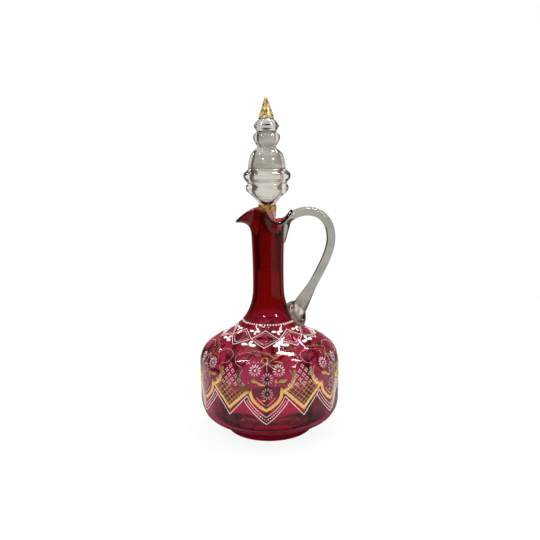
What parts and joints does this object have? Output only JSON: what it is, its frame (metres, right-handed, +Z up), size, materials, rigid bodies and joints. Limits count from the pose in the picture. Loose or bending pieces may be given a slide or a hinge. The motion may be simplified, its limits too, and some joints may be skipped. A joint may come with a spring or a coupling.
{
  "type": "claret decanter",
  "caption": "Ruby glass claret decanter with a drum body, tall neck, three-lobed lip, clear handle, gilt and enamel bands and a lift-out hollow stopper.",
  "frame": {"origin": "on the vessel's axis, in the plane that the foot rests on", "axes": "+Z up the axis to the stopper's tip, +X towards the handle, -X towards the pouring lobe, -Y towards the front panel"},
  "size_m": [0.1202, 0.119, 0.28],
  "materials": {
    "ruby_glass": "fire polished",
    "foot_glass": "fire polished",
    "clear_glass": "fire polished",
    "gilding": "fired gilding, softly polished",
    "white_enamel": "fired enamel, satin"
  },
  "bodies": {
    "vessel": {"foot": "foot_glass", "ruby_body": "ruby_glass", "handle": "clear_glass", "gilt_panel_border": "gilding", "enamel_point_border": "white_enamel", "enamel_diamond_chain": "white_enamel", "enamel_bead_ring": "white_enamel"},
    "stopper": {"stopper": "clear_glass", "stopper_gilt_tip": "gilding", "stopper_gilt_collar": "gilding"}
  },
  "joints": [
    {"name": "stopper_lift", "type": "slide", "parent": "vessel", "child": "stopper", "axis": [0, 0, 1], "range_m": [0, 0.08]}
  ]
}
